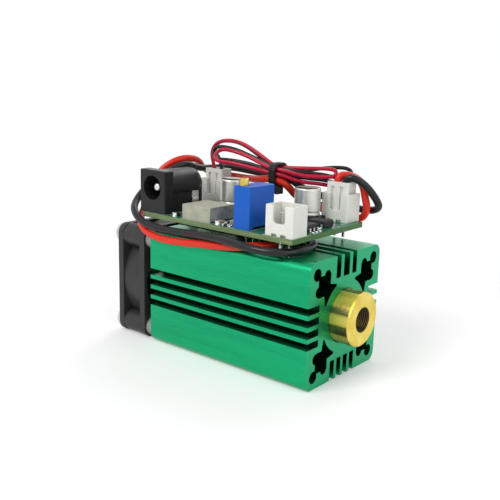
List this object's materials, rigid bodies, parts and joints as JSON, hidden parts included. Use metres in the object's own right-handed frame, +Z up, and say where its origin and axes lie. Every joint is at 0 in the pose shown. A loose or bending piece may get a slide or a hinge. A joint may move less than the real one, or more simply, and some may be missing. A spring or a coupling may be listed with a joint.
{
  "type": "laser diode module",
  "caption": "Laser diode module: slotted square heatsink with a brass lens barrel, cooling fan behind and driver board with jack, headers, trimmer and leads on top.",
  "frame": {"origin": "centre of the heatsink's underside", "axes": "+X along the beam, out of the barrel; +Y across the body; +Z up through the driver board"},
  "size_m": [0.0693, 0.04, 0.0527],
  "materials": {
    "anodised_body": "green anodised, satin",
    "brass": "turned brass",
    "lens_glass": "clear, polished",
    "gold_metal": "gold plated",
    "black_steel": "blackened",
    "fan_plastic": "moulded, satin",
    "bronze": "sintered bronze",
    "stator_steel": "punched sheets",
    "spacer_plastic": "grey, moulded",
    "bright_screw": "zinc plated",
    "board": "solder mask on glass cloth",
    "jack_plastic": "moulded, smooth",
    "tinned_metal": "tinned",
    "ferrite": "ground ferrite",
    "ferrite_cover": "grey, slightly rough",
    "trimmer_plastic": "blue, moulded",
    "header_plastic": "natural nylon",
    "can_aluminium": "drawn, coated",
    "base_plastic": "black, moulded",
    "package_plastic": "black, moulded",
    "resistor_black": "glazed",
    "ceramic_tan": "fired ceramic",
    "red_insulation": "smooth, soft",
    "black_insulation": "smooth, soft",
    "crimson_insulation": "smooth, soft",
    "tie_nylon": "black nylon"
  },
  "bodies": {
    "module": {"heatsink": "anodised_body", "laser_barrel": "brass", "lens_cell": "brass", "collimating_lens": "lens_glass", "laser_diode": "gold_metal", "diode_retainer": "brass", "barrel_set_screw": "black_steel", "fan_frame": "fan_plastic", "fan_bush": "bronze", "fan_stator": "stator_steel", "fan_spacers": "spacer_plastic", "fan_screws": "bright_screw", "circuit_board": "board", "jack_housing": "jack_plastic", "jack_pin": "tinned_metal", "jack_leaf": "tinned_metal", "inductor_core": "ferrite", "inductor_cover": "ferrite_cover", "trimmer_body": "trimmer_plastic", "trimmer_pins": "tinned_metal", "modulation_header": "header_plastic", "modulation_header_pins": "tinned_metal", "laser_header": "header_plastic", "laser_header_pins": "tinned_metal", "laser_plug": "header_plastic", "fan_header": "header_plastic", "fan_header_pins": "tinned_metal", "fan_plug": "header_plastic", "capacitor_cans": "can_aluminium", "capacitor_bases": "base_plastic", "driver_chip": "package_plastic", "driver_chip_leads": "tinned_metal", "power_transistor": "package_plastic", "power_transistor_leads": "tinned_metal", "chip_resistors": "resistor_black", "chip_ceramics": "ceramic_tan", "chip_end_caps": "tinned_metal", "laser_lead_red": "red_insulation", "laser_lead_black": "black_insulation", "fan_lead_red": "crimson_insulation", "fan_lead_black": "black_insulation", "cable_tie": "tie_nylon"},
    "rotor": {"fan_rotor": "fan_plastic"},
    "adjuster": {"trimmer_screw": "brass"}
  },
  "joints": [
    {"name": "fan_spin", "type": "hinge", "parent": "module", "child": "rotor", "pos_m": [-0.0324, 0, 0.015], "axis": [1, 0, 0], "continuous": true},
    {"name": "trimmer_turn", "type": "hinge", "parent": "module", "child": "adjuster", "pos_m": [0.00375, -0.01235, 0.0455], "axis": [0, 0, 1], "continuous": true}
  ]
}
